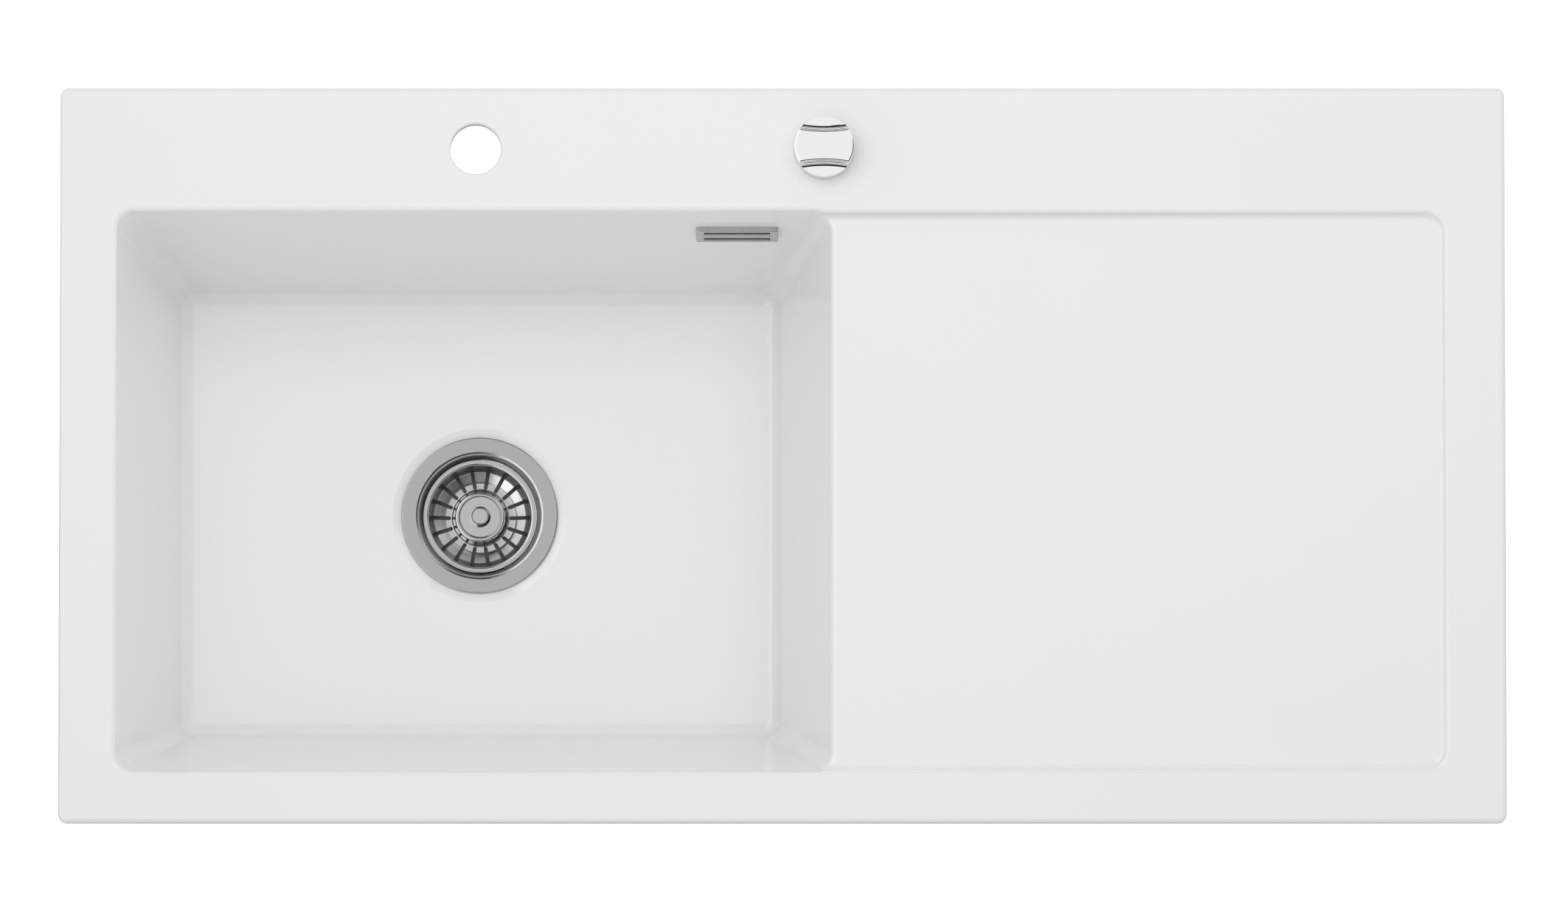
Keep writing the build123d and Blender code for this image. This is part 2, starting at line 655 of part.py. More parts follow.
def lift_lever():
    """Shaft with an inner arm that lifts the pin; it rests half a swing below level."""
    length = PORT_END + BUSH_HEAD + 2 * SLIDE + CRANK_WIDTH
    half = LEVER_WIDTH / 2
    shaft = disc(SHAFT_R, -half, length) - disc(SCREW_R + FIT, length - SCREW_HOLE, length + PAST)
    tip = Pos(LEVER_ARM, 0)
    arm = make_hull(Circle(LEVER_NECK_R).edges() + (tip * Circle(LEVER_NECK_R)).edges())
    arm += Circle(LEVER_HUB_R) + tip * Circle(LEVER_TIP_R)
    arm = Pos(0, half, 0) * extrude(Plane.XZ * arm, LEVER_WIDTH)
    return Pos(-LEVER_ARM, 0, LEVER_Z) * (along_front(shaft) + Rot(0, LEVER_SWING / 2, 0) * arm)


def crank_arm():
    """Outer arm with an open fork for the cable nipple; it hangs half a swing back at rest."""
    length = CRANK_REACH + CRANK_END
    arm = Circle(CRANK_HUB_R) + Pos(0, -length / 2) * Rectangle(CRANK_BLADE, length)
    arm -= Circle(SHAFT_R + FIT)
    fork = NIPPLE_R + SLIDE
    arm -= Pos(0, FORK_PLAY - CRANK_REACH) * Circle(fork)
    arm -= Pos(0, -length) * Rectangle(2 * fork, 2 * (CRANK_END + FORK_PLAY))
    arm = Pos(0, CRANK_WIDTH / 2, 0) * extrude(Plane.XZ * arm, CRANK_WIDTH)
    groove = Box(CRANK_HUB_R, 2 * (CORE_R + SLIDE), 2 * CRANK_HUB_R)
    arm -= Pos(CRANK_HUB_R / 2, 0, 2 * NIPPLE_R - CRANK_REACH - CRANK_HUB_R) * groove
    return Pos(-LEVER_ARM, crank_y(), LEVER_Z) * Rot(0, LEVER_SWING / 2, 0) * arm


def crank_screw():
    """Screw in the shaft's end that keeps the crank arm on."""
    end = -crank_y() + CRANK_WIDTH / 2
    head = end + SCREW_HEAD
    screw = disc(SCREW_R, end - SCREW_LENGTH, end) + disc(SCREW_HEAD_R, end, head)
    screw -= disc(SCREW_R, head - SCREW_RECESS, head + PAST)
    screw += disc(SCREW_WASHER_R, end, end + SCREW_WASHER)
    return Pos(-LEVER_ARM, 0, LEVER_Z) * along_front(screw)


def lever_bush():
    """Bearing bush with a six-sided head, screwed into the lever port."""
    head = extrude(RegularPolygon(BUSH_HEAD_R, 6), BUSH_HEAD)
    bush = disc(PORT_BORE_R - FIT, PORT_END - BUSH_LENGTH, PORT_END) + Pos(0, 0, PORT_END) * head
    bush -= disc(SHAFT_R + RUN, PORT_END - BUSH_LENGTH - PAST, PORT_END + BUSH_HEAD + PAST)
    return Pos(-LEVER_ARM, 0, LEVER_Z) * along_front(bush)


def lever_oring():
    """Ring that seals the shaft behind the bush."""
    room = PORT_BORE_R - SHAFT_R
    section = room / 2 - RUN
    oring = Pos(0, 0, PORT_END - BUSH_LENGTH - section) * Torus(SHAFT_R + room / 2, section)
    return Pos(-LEVER_ARM, 0, LEVER_Z) * along_front(oring)


def cable_nipple():
    """Lower end of the cable's core, with the cross pin that sits in the crank's fork."""
    back = CABLE_PULL / 2
    pin = along_front(disc(NIPPLE_R, -CRANK_WIDTH / 2, CRANK_WIDTH / 2))
    length = LEVER_ARM + back + BRACKET_X + BRACKET + CORE_OVERLAP
    core = along_x(disc(CORE_R, 0, length))
    return Pos(-LEVER_ARM - back, crank_y(), cable_z()) * (pin + core)


def ferrule(wall):
    """End piece of the sleeve: stem through a wall of given thickness, collar and tail, along +X from 0."""
    collar = wall + FERRULE_COLLAR
    end = collar + FERRULE_TAIL
    body = disc(FERRULE_R, 0, wall) + disc(FERRULE_COLLAR_R, wall, collar) + disc(FERRULE_TAIL_R, collar, end)
    body -= disc(SLEEVE_BORE_R, -PAST, wall + PAST) + disc(SLEEVE_R + FIT, wall, end + PAST)
    return along_x(body)


def waste_ferrule():
    """Lower end piece, in the waste body's bracket."""
    return Pos(BRACKET_X, crank_y(), cable_z()) * ferrule(BRACKET)


def control_ferrule():
    """Upper end piece, in the end wall of the control housing."""
    return Pos(CHANNEL_LENGTH / 2, 0, slider_z()) * ferrule((HOUSING_LENGTH - CHANNEL_LENGTH) / 2)


def cable_sleeve():
    """Sleeve from the waste bracket, under the bowl and drainer, up to the control housing."""
    low = Vector(BOWL_X, BOWL_Y, DRAIN_Z) + Vector(BRACKET_X + BRACKET, crank_y(), cable_z())
    high = Vector(KNOB_X + HOUSING_LENGTH / 2, HOLE_Y, slider_z())
    route = [
        low,
        Vector(low.X + 165, low.Y, low.Z),
        Vector(low.X + 265, low.Y + 45, low.Z + 20),
        Vector(high.X + 95, high.Y - 140, high.Z - 155),
        Vector(high.X + 115, high.Y - 50, high.Z - 70),
        Vector(high.X + 85, high.Y, high.Z),
        high,
    ]
    path = FilletPolyline(*route, radius=bend_radii(route))
    section = Circle(SLEEVE_R) - Circle(SLEEVE_BORE_R)
    return sweep(Plane(low, x_dir=(0, 1, 0), z_dir=(1, 0, 0)) * section, path)


def bend_radii(route):
    """Largest tangent arc at each corner that leaves a tenth of the shorter run straight."""
    radii = []
    for before, corner, after in zip(route, route[1:], route[2:]):
        first, second = corner - before, after - corner
        turn = radians(first.get_angle(second))
        radii.append(0.45 * min(first.length, second.length) / tan(turn / 2))
    return radii


def overflow_cover():
    """Metal cover: thin box on the rear wall, with a tilted louvre between two long slots."""
    cover = extrude(RectangleRounded(COVER_LENGTH, COVER_HEIGHT, COVER_CORNER), COVER_DEPTH)
    cover = fillet(cover.faces().sort_by(Axis.Z)[-1].edges(), COVER_EDGE)
    inside = Rectangle(COVER_LENGTH - 2 * COVER_WALL, COVER_HEIGHT - 2 * COVER_WALL)
    window = Rectangle(LOUVRE_LENGTH, LOUVRE_HEIGHT + 2 * COVER_SLOT)
    cover -= extrude(inside, COVER_DEPTH - COVER_FACE) + extrude(window, COVER_DEPTH)
    front = cover.faces().filter_by(Axis.Z).sort_by(Axis.Z)[-1]
    cover = fillet(front.inner_wires()[0].edges().sort_by(Axis.Y)[0], COVER_SILL)

    half = LOUVRE_HEIGHT / 2
    out = COVER_DEPTH + LOUVRE_TILT
    back = COVER_DEPTH - LOUVRE_TILT
    blade = make_face(Polyline(
        (half, out),
        (-half, back),
        (-half, back - LOUVRE_FOOT),
        (half, out - LOUVRE_TOP),
        close=True,
    ))
    blade = fillet(blade.vertices().sort_by(Axis.Y)[-1], LOUVRE_EDGE)
    cover += extrude(Plane.YZ * blade, LOUVRE_LENGTH / 2, both=True)
    return overflow_plane() * cover


def overflow_insert():
    """Plate behind the cover that the two screws draw against the wall."""
    length = OVERFLOW_LENGTH + 2 * INSERT_MARGIN
    insert = RectangleRounded(length, OVERFLOW_HEIGHT + 2 * INSERT_EDGE, INSERT_CORNER)
    insert -= RectangleRounded(INSERT_SLOT_LENGTH, INSERT_SLOT, INSERT_CORNER)
    plate = extrude(insert, INSERT)
    hole = disc(SCREW_R + FIT, -PAST, INSERT) + countersink(COUNTERSINK_R + FIT, SCREW_R + FIT)
    for side in (-1, 1):
        plate -= Pos(side * SCREW_PITCH / 2, 0, 0) * hole
    return overflow_plane() * plate


def countersink(outer, inner):
    """Cone of a countersunk head, flush with the insert's face."""
    foot = INSERT - (outer - inner)
    return turned((0, foot), (inner, foot), (outer, INSERT), (0, INSERT))


def overflow_screws():
    """Two countersunk screws from the insert into the elbow's bosses."""
    reach = WALL_NORMAL + OVERFLOW_GASKET + ELBOW_FLANGE
    screws = []
    for side in (-1, 1):
        screw = disc(SCREW_R, -reach, INSERT) + countersink(COUNTERSINK_R, SCREW_R)
        screw -= Pos(0, 0, INSERT) * extrude(Rectangle(SCREW_SLOT, 2 * COUNTERSINK_R), -SCREW_SLOT_DEPTH)
        screws.append(overflow_plane() * Pos(side * SCREW_PITCH / 2, 0, 0) * screw)
    return Compound(screws)


def elbow_plate():
    """Outline of the elbow's flange and its gasket."""
    length = OVERFLOW_LENGTH + 2 * ELBOW_MARGIN
    return RectangleRounded(length, OVERFLOW_HEIGHT + 2 * ELBOW_MARGIN, ELBOW_CORNER)


def overflow_gasket():
    """Flat gasket between the elbow's flange and the outside of the wall."""
    gasket = extrude(elbow_plate() - overflow_slot(), -OVERFLOW_GASKET)
    return overflow_plane() * Pos(0, 0, -WALL_NORMAL) * gasket


def overflow_elbow():
    """Moulded elbow: flange, flat chamber, screw bosses and a spigot that points down."""
    face = -WALL_NORMAL - OVERFLOW_GASKET
    back = face - ELBOW_DEPTH
    chamber = offset(overflow_slot(), ELBOW_WALL)
    outer = Pos(0, 0, face) * (extrude(elbow_plate(), -ELBOW_FLANGE) + extrude(chamber, -ELBOW_DEPTH))
    hollow = Pos(0, 0, back + ELBOW_WALL) * extrude(overflow_slot(), ELBOW_DEPTH)
    spigot_top = elbow_z()
    spigot_end = spigot_top - SPIGOT_LENGTH
    stop = spigot_top - PIPE_STOP
    spigot = disc(SPIGOT_R, spigot_end, spigot_top)
    bore = disc(PIPE_R + SLIDE, spigot_end - PAST, stop) + disc(PIPE_BORE_R, stop - PAST, spigot_top)
    at_spigot = Pos(OVERFLOW_X, pipe_y(), 0)
    body = overflow_plane() * outer + at_spigot * spigot
    body -= overflow_plane() * hollow + at_spigot * bore
    boss = ring(BOSS_SMALL_R, SCREW_R + FIT, back + ELBOW_WALL / 2, -SLIDE)
    for side in (-1, 1):
        body += overflow_plane() * Pos(side * SCREW_PITCH / 2, 0, 0) * boss
    return body


def elbow_z():
    """Height at which the elbow's spigot leaves its chamber."""
    return RIM - OVERFLOW_DROP


def overflow_pipe():
    """Rigid pipe: straight down behind the bowl, one bend, then level to the waste branch."""
    angle = radians(branch_angle())
    top = Vector(OVERFLOW_X, pipe_y(), elbow_z() - SPIGOT_LENGTH + PIPE_ENTRY)
    corner = Vector(OVERFLOW_X, pipe_y(), DRAIN_Z + BRANCH_Z)
    reach = BRANCH_END - PIPE_ENTRY
    end = Vector(BOWL_X + reach * cos(angle), BOWL_Y + reach * sin(angle), corner.Z)
    path = FilletPolyline(top, corner, end, radius=PIPE_BEND)
    section = Circle(PIPE_R) - Circle(PIPE_BORE_R)
    return sweep(Plane(top, z_dir=(0, 0, -1)) * section, path)


def pipe_nut():
    """Knurled compression nut on a spigot whose mouth is at 0; the pipe leaves along +Z."""
    top = PIPE_SEAL + NUT_LIP
    bottom = top - NUT_LENGTH
    nut = chamfer(disc(NUT_R, bottom, top).edges(), NUT_EDGE)
    nut -= disc(SPIGOT_R + FIT, bottom - PAST, PIPE_SEAL) + disc(PIPE_R + SLIDE, 0, top + PAST)
    groove = disc(NUT_GROOVE_R, bottom, top)
    for place in PolarLocations(NUT_R + NUT_GROOVE_R - NUT_GROOVE, NUT_GROOVES):
        nut -= place * groove
    return nut


def pipe_seal():
    """Sealing ring between spigot mouth and nut."""
    return ring(SPIGOT_R - FIT, PIPE_R + FIT, 0, PIPE_SEAL)


def at_upper_joint(shape):
    """Places a pipe-joint piece at the elbow's spigot."""
    return Pos(OVERFLOW_X, pipe_y(), elbow_z() - SPIGOT_LENGTH) * Rot(180, 0, 0) * shape


def at_lower_joint(shape):
    """Places a pipe-joint piece at the waste body's branch."""
    mouth = Pos(0, 0, BRANCH_Z) * Rot(0, 0, branch_angle()) * Pos(BRANCH_END, 0, 0)
    return AT_DRAIN * mouth * along_x(shape)


def control_knob():
    """Round knob with two cut-away segments that leave a waisted grip bar; hollow below with a hub."""
    base = RIM + KNOB_GAP
    top = base + KNOB_HEIGHT
    floor = top - GRIP_HEIGHT
    knob = disc(KNOB_R, base, top)
    cut = extrude(Circle(GRIP_CURVE), GRIP_HEIGHT + PAST)
    cut = fillet(cut.faces().sort_by(Axis.Z)[0].edges(), GRIP_COVE)
    for side in (-1, 1):
        knob -= Pos(0, side * (GRIP_CURVE + GRIP_WIDTH / 2), floor) * cut
    knob = fillet(knob.faces().sort_by(Axis.Z)[-1].edges(), KNOB_EDGE)
    roof = floor - KNOB_WALL
    flange_top = RIM + KNOB_GASKET + BUSH_FLANGE
    hollow = disc(KNOB_R - KNOB_WALL, base, roof) - disc(KNOB_HUB_R, flange_top + SLIDE, roof)
    hollow += disc(BUSH_FLANGE_R + SLIDE, base, flange_top + SLIDE)
    hollow += disc(SPINDLE_R + FIT, base, RIM + SPINDLE_END + SLIDE)
    knob -= hollow
    return knob - Pos(0, 0, RIM + GRUB_Z) * along_front(disc(GRUB_R + FIT, -KNOB_R - PAST, 0))


def knob_screw():
    """Grub screw that grips the spindle from the rear."""
    screw = disc(GRUB_R, -KNOB_HUB_R, -SPINDLE_R)
    screw -= Pos(0, 0, -KNOB_HUB_R) * extrude(RegularPolygon(GRUB_R / 2, 6), GRUB_SOCKET)
    return Pos(0, 0, RIM + GRUB_Z) * along_front(screw)


def knob_spindle():
    """Spindle with a crank disc and an eccentric pin, which stands at 45 degrees when the waste is closed."""
    roof = BUSH_BOTTOM_Z - HOUSING_TOP
    under = roof - DISC_DROP - DISC
    spindle = disc(SPINDLE_R, under, RIM + SPINDLE_END) + disc(DISC_R, under, roof - DISC_DROP)
    pin = disc(ECCENTRIC_PIN_R, slider_z() - SLIDER_HEIGHT / 2, under + DISC)
    return spindle + Rot(0, 0, 45) * Pos(ECCENTRIC_R, 0, 0) * pin


def slider_z():
    """Middle of the slider, which runs just under the crank disc."""
    return BUSH_BOTTOM_Z - HOUSING_TOP - DISC_DROP - DISC - 2 * SLIDE - SLIDER_HEIGHT / 2


def housing_bottom():
    """Joint between control housing and its lid."""
    return slider_z() - SLIDER_HEIGHT / 2 - SLIDE


def cable_slider():
    """Slider with an open cross slot for the eccentric pin and the cable's upper end."""
    slot = ECCENTRIC_PIN_R + SLIDE
    near = ECCENTRIC_R * cos(radians(45)) - slot - SLIDE
    block = Rectangle(SLIDER_LENGTH, SLIDER_WIDTH)
    block -= Pos(-slot, near) * Rectangle(2 * slot, SLIDER_WIDTH / 2, align=Align.MIN)
    block = Pos(0, 0, -SLIDER_HEIGHT / 2) * extrude(block, SLIDER_HEIGHT)
    core = along_x(disc(CORE_R, SLIDER_LENGTH / 2 - CORE_SEAT, HOUSING_LENGTH / 2 + CORE_OVERLAP))
    return Pos(CABLE_PULL / 2, 0, slider_z()) * (block + core)


def screw_places():
    """Corners of the control housing that take its four screws."""
    x = (HOUSING_LENGTH + CHANNEL_LENGTH) / 4
    y = SLIDER_WIDTH / 2 - HOUSING_SCREW_HEAD_R
    return [Pos(side * x, end * y, 0) for side in (-1, 1) for end in (-1, 1)]


def housing_plan():
    """Outline of the control housing and its lid."""
    return RectangleRounded(HOUSING_LENGTH, SLIDER_WIDTH + 2 * SLIDE + 2 * HOUSING_WALL, HOUSING_CORNER)


def control_housing():
    """Housing under the deck: collar on the bush, roof and channel for disc and slider."""
    low = housing_bottom()
    housing = Pos(0, 0, low) * extrude(housing_plan(), BUSH_BOTTOM_Z - low)
    housing += disc(COLLAR_R, BUSH_BOTTOM_Z - PAST, BUSH_BOTTOM_Z + COLLAR)
    housing -= disc(BUSH_R + FIT, BUSH_BOTTOM_Z, BUSH_BOTTOM_Z + COLLAR + PAST)
    channel = Rectangle(CHANNEL_LENGTH, SLIDER_WIDTH + 2 * SLIDE)
    housing -= Pos(0, 0, low) * extrude(channel, BUSH_BOTTOM_Z - HOUSING_TOP - low)
    housing -= disc(SPINDLE_R + SLIDE, low, BUSH_BOTTOM_Z + PAST)
    ferrule_hole = disc(FERRULE_R + FIT, CHANNEL_LENGTH / 2 - PAST, HOUSING_LENGTH)
    housing -= Pos(0, 0, slider_z()) * along_x(ferrule_hole)
    for place in screw_places():
        housing -= place * disc(HOUSING_SCREW_R + FIT, low, low + HOUSING_SCREW_LENGTH - COVER_PLATE)
    return housing


def control_cover():
    """Lid of the control housing."""
    low = housing_bottom()
    lid = Pos(0, 0, low) * extrude(housing_plan(), -COVER_PLATE)
    for place in screw_places():
        lid -= place * disc(HOUSING_SCREW_R + FIT, low - COVER_PLATE, low)
    return lid


def cover_screws():
    """Four screws that close the housing from below."""
    low = housing_bottom() - COVER_PLATE
    screw = disc(HOUSING_SCREW_R, low, low + HOUSING_SCREW_LENGTH)
    screw += disc(HOUSING_SCREW_HEAD_R, low - HOUSING_SCREW_HEAD, low)
    cross = Rectangle(CROSS, CROSS_WIDTH) + Rectangle(CROSS_WIDTH, CROSS)
    screw -= Pos(0, 0, low - HOUSING_SCREW_HEAD) * extrude(cross, CROSS_DEPTH)
    return Compound([place * screw for place in screw_places()])


def control_bush():
    """Threaded bush through the deck with a round flange under the knob."""
    seat = RIM + KNOB_GASKET
    bush = disc(BUSH_R, BUSH_BOTTOM_Z, seat) + disc(BUSH_FLANGE_R, seat, seat + BUSH_FLANGE)
    return bush - disc(SPINDLE_R + RUN, BUSH_BOTTOM_Z - PAST, seat + BUSH_FLANGE + PAST)


def deck_nut():
    """Six-sided nut that draws the bush down from below the ledge."""
    top = RIM - LEDGE_AT_HOLE - WASHER
    nut = extrude(RegularPolygon(NUT_FLATS / 2, 6, major_radius=False) - Circle(BUSH_R + FIT), NUT_HEIGHT)
    return Pos(0, 0, top - NUT_HEIGHT) * nut


def deck_washer():
    """Washer between nut and ledge."""
    top = RIM - LEDGE_AT_HOLE
    return ring(WASHER_R, BUSH_R + SLIDE, top - WASHER, top)


def knob_gasket():
    """Gasket between the bush's flange and the deck."""
    return ring(BUSH_FLANGE_R, BUSH_R + SLIDE, RIM, RIM + KNOB_GASKET)


def flange_gasket():
    """Gasket between the strainer's flange and the drain recess."""
    outer = FLANGE_R - GASKET_INSET
    return ring(outer, outer - GASKET_WIDTH, SEAT_Z, SEAT_Z + GASKET)


def waste_gasket():
    """Gasket between the waste body and the underside of the floor."""
    outer = WASTE_FLANGE_R - GASKET_INSET
    return ring(outer, DRAIN_HOLE_R + GASKET_INSET, UNDER_Z - WASTE_GASKET, UNDER_Z)


NODES = {
    "sink_body": sink_body(),
    "strainer_flange": AT_DRAIN * strainer_flange(),
    "flange_gasket": AT_DRAIN * flange_gasket(),
    "waste_gasket": AT_DRAIN * waste_gasket(),
    "waste_body": AT_DRAIN * waste_body(),
    "outlet_funnel": AT_DRAIN * outlet_funnel(),
    "clamp_bolt": AT_DRAIN * clamp_bolt(),
    "strainer_basket": AT_DRAIN * strainer_basket(),
    "basket_hub": AT_DRAIN * basket_hub(),
    "seal_carrier": AT_DRAIN * seal_carrier(),
    "basket_seal": AT_DRAIN * basket_seal(),
    "lift_pin": AT_DRAIN * lift_pin(),
    "lift_lever": AT_DRAIN * lift_lever(),
    "lever_bush": AT_DRAIN * lever_bush(),
    "lever_oring": AT_DRAIN * lever_oring(),
    "crank_arm": AT_DRAIN * crank_arm(),
    "crank_screw": AT_DRAIN * crank_screw(),
    "cable_nipple": AT_DRAIN * cable_nipple(),
    "waste_ferrule": AT_DRAIN * waste_ferrule(),
    "overflow_cover": overflow_cover(),
    "overflow_insert": overflow_insert(),
    "overflow_screws": overflow_screws(),
    "overflow_gasket": overflow_gasket(),
    "overflow_elbow": overflow_elbow(),
    "overflow_pipe": overflow_pipe(),
    "upper_pipe_nut": at_upper_joint(pipe_nut()),
    "upper_pipe_seal": at_upper_joint(pipe_seal()),
    "lower_pipe_nut": at_lower_joint(pipe_nut()),
    "lower_pipe_seal": at_lower_joint(pipe_seal()),
    "control_knob": AT_KNOB * control_knob(),
    "knob_screw": AT_KNOB * knob_screw(),
    "knob_spindle": AT_KNOB * knob_spindle(),
    "control_bush": AT_KNOB * control_bush(),
    "knob_gasket": AT_KNOB * knob_gasket(),
    "deck_washer": AT_KNOB * deck_washer(),
    "deck_nut": AT_KNOB * deck_nut(),
    "control_housing": AT_KNOB * control_housing(),
    "control_cover": AT_KNOB * control_cover(),
    "cover_screws": AT_KNOB * cover_screws(),
    "cable_slider": AT_KNOB * cable_slider(),
    "control_ferrule": AT_KNOB * control_ferrule(),
    "cable_sleeve": cable_sleeve(),
}

os.makedirs("parts", exist_ok=True)
for name, shape in NODES.items():
    export_step(shape, f"parts/{name}.step")
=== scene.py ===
from math import atan2, cos, degrees, hypot, radians, sin, tau

import bpy
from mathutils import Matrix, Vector


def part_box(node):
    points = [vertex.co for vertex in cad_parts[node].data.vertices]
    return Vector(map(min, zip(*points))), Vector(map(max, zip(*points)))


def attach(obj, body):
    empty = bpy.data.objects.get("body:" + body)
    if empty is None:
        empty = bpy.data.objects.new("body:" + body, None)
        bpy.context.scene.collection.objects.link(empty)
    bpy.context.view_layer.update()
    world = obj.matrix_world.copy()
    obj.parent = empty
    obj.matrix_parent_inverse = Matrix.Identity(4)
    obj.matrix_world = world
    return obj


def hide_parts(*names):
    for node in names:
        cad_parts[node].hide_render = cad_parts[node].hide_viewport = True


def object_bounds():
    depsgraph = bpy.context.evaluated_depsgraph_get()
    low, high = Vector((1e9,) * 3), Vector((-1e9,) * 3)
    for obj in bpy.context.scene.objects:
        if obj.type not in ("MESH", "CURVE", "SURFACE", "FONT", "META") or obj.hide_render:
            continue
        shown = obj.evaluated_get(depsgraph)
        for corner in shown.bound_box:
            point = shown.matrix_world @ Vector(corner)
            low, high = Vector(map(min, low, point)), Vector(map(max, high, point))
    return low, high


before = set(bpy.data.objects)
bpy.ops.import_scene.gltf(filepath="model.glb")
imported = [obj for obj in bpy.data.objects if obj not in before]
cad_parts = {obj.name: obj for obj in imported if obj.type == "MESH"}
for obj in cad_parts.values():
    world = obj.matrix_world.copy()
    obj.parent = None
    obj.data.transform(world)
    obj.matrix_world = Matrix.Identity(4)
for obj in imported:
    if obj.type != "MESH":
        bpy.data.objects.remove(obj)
cad_low, cad_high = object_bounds()

# View: the sink is seen from almost straight above, a little from the front, through a long lens.
# One pixel of the photograph is about half a millimetre on the rim.
PHOTO_WIDTH = 2126
PIXELS_PER_METRE = 1961.5
TILT = radians(5.3)
DISTANCE = 12.0
AIM_RIGHT, AIM_BACK = 0.0011, -0.0018
SENSOR_WIDTH = 36.0
FARTHEST_SEEN = 100.0
rim_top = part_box("sink_body")[1].z
aim = Vector((AIM_RIGHT, AIM_BACK, rim_top))
lens = bpy.data.cameras.new("photo_camera")
lens.sensor_width = SENSOR_WIDTH
lens.lens = SENSOR_WIDTH * DISTANCE * PIXELS_PER_METRE / PHOTO_WIDTH
lens.clip_end = FARTHEST_SEEN
camera = bpy.data.objects.new("photo_camera", lens)
camera.location = aim + DISTANCE * Vector((0, -sin(TILT), cos(TILT)))
camera.rotation_euler = (TILT, 0, 0)
bpy.context.scene.collection.objects.link(camera)
bpy.context.scene.camera = camera
bpy.context.scene.view_settings.view_transform = "Standard"

# Studio light: an even white surround and one soft lamp overhead, a little to the rear. Only polished
# surfaces see the curved cards, dark ones at the front, right and rear and a bright one at the left,
# which draw the metal's dark lines and its highlights while the ceramic stays evenly lit.
WHITE = (1, 1, 1, 1)
SURROUND_LIGHT, SURROUND_SEEN = 0.67, 1.0
LAMP_WIDTH, LAMP_DEPTH = 1.8, 1.2
LAMP_POWER = 9.0
LAMP_PLACE = Vector((-0.05, 0.48, 1.65))
DARK_RADIUS, DARK_GLOW = 3.0, 0.02
DARK_SIDES = {"rear": (60, 120), "right": (-120, 30)}
DARK_LEVELS = {"high": (2.35, 9.5), "low": (0.92, 1.85)}
LEFT_RADIUS, LEFT_GLOW = 2.3, 2.2
LEFT_SIDE, LEFT_LEVEL = (120, 245), (1.35, 3.95)
CARD_STRIPS = 72
UNSEEN_BY = ("camera", "diffuse", "transmission", "volume_scatter", "shadow")


def shader_node(tree, kind, inputs, **settings):
    """Adds a node with its settings, and sets or links each of its inputs."""
    made = tree.nodes.new("ShaderNode" + kind)
    for name, setting in settings.items():
        setattr(made, name, setting)
    for socket, source in inputs.items():
        if isinstance(source, bpy.types.NodeSocket):
            tree.links.new(source, made.inputs[socket])
        else:
            made.inputs[socket].default_value = source
    return made


def reckon(tree, operation, one, other):
    """One step of arithmetic on two values."""
    return shader_node(tree, "Math", {0: one, 1: other}, operation=operation).outputs[0]


def between(tree, share, low, high):
    """A value between two, by a share that changes over the surface."""
    made = shader_node(tree, "MapRange", {"Value": share, "To Min": low, "To Max": high})
    return made.outputs["Result"]


studio = bpy.data.worlds.new("studio")
studio.use_nodes = True
sky = studio.node_tree
sky_ray = shader_node(sky, "LightPath", {}).outputs
seen_or_mirrored = reckon(sky, "MAXIMUM", sky_ray["Is Camera Ray"], sky_ray["Is Glossy Ray"])
seen_at_all = reckon(sky, "MAXIMUM", seen_or_mirrored, sky_ray["Is Transmission Ray"])
brightness = between(sky, seen_at_all, SURROUND_LIGHT, SURROUND_SEEN)
sky.nodes["Background"].inputs["Color"].default_value = WHITE
sky.links.new(brightness, sky.nodes["Background"].inputs["Strength"])
bpy.context.scene.world = studio

softbox = bpy.data.lights.new("softbox", "AREA")
softbox.shape = "RECTANGLE"
softbox.size = LAMP_WIDTH
softbox.size_y = LAMP_DEPTH
softbox.energy = LAMP_POWER
lamp = bpy.data.objects.new("softbox", softbox)
lamp.location = LAMP_PLACE
lamp.rotation_euler = (-LAMP_PLACE).to_track_quat("-Z", "Y").to_euler()
lamp.visible_glossy = False
bpy.context.scene.collection.objects.link(lamp)


def reflected_card(name, radius, bearings, heights, glow):
    """An upright curved card, between two bearings in degrees, that only polished surfaces see."""
    start, end = bearings
    low, high = heights
    bpy.ops.object.select_all(action="DESELECT")
    bpy.ops.mesh.primitive_cylinder_add(vertices=CARD_STRIPS, radius=radius, depth=high - low,
                                        end_fill_type="NOTHING", location=(0, 0, (low + high) / 2))
    card = bpy.context.object
    card.name = name
    bpy.ops.object.mode_set(mode="EDIT")
    bpy.ops.mesh.select_all(action="DESELECT")
    bpy.ops.object.mode_set(mode="OBJECT")
    for corner in card.data.vertices:
        bearing = degrees(atan2(corner.co.y, corner.co.x))
        corner.select = (bearing - start) % 360 > end - start
    bpy.ops.object.mode_set(mode="EDIT")
    bpy.ops.mesh.delete(type="VERT")
    bpy.ops.object.mode_set(mode="OBJECT")
    paint = bpy.data.materials.new(name)
    paint.use_nodes = True
    tree = paint.node_tree
    light = shader_node(tree, "Emission", {"Strength": glow})
    tree.links.new(light.outputs[0], tree.nodes["Material Output"].inputs["Surface"])
    card.data.materials.append(paint)
    for ray in UNSEEN_BY:
        setattr(card, "visible_" + ray, False)


for side, bearings in DARK_SIDES.items():
    for level, heights in DARK_LEVELS.items():
        reflected_card(f"{side}_{level}_card", DARK_RADIUS, bearings, heights, DARK_GLOW)
reflected_card("left_card", LEFT_RADIUS, LEFT_SIDE, LEFT_LEVEL, LEFT_GLOW)

